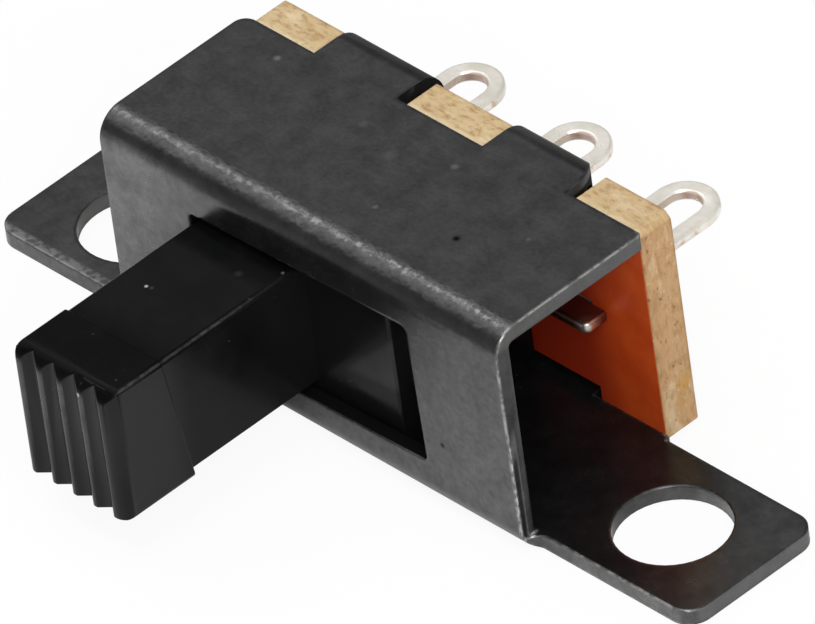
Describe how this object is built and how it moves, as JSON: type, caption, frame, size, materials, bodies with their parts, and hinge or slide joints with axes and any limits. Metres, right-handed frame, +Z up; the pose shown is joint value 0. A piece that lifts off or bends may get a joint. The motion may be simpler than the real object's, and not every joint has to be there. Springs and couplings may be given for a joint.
{
  "type": "slide switch",
  "caption": "Small slide switch: folded steel frame with screw ears, ridged black handle in a window, and solder lugs on a phenolic board behind.",
  "frame": {"origin": "midway between the two ear holes, on the mounting face under the ears", "axes": "+X along the handle's travel, -Y towards the handle's end, +Y towards the solder lugs, +Z up from the mounting face"},
  "size_m": [0.0196, 0.0128, 0.0054],
  "materials": {
    "black_steel": "thin black finish on cold rolled steel, satin",
    "phenolic_board": "phenolic paper laminate, glossy face and fibrous punched edges",
    "tinned_brass": "bright tin plate",
    "black_plastic": "moulded black plastic, satin",
    "spring_bronze": "bare spring bronze"
  },
  "bodies": {
    "body": {"frame": "black_steel", "terminal_board": "phenolic_board", "terminal_left": "tinned_brass", "terminal_centre": "tinned_brass", "terminal_right": "tinned_brass"},
    "slider": {"slider": "black_plastic", "contact_clip": "spring_bronze"}
  },
  "joints": [
    {"name": "slide", "type": "slide", "parent": "body", "child": "slider", "axis": [1, 0, 0], "range_m": [0, 0.0033]}
  ]
}
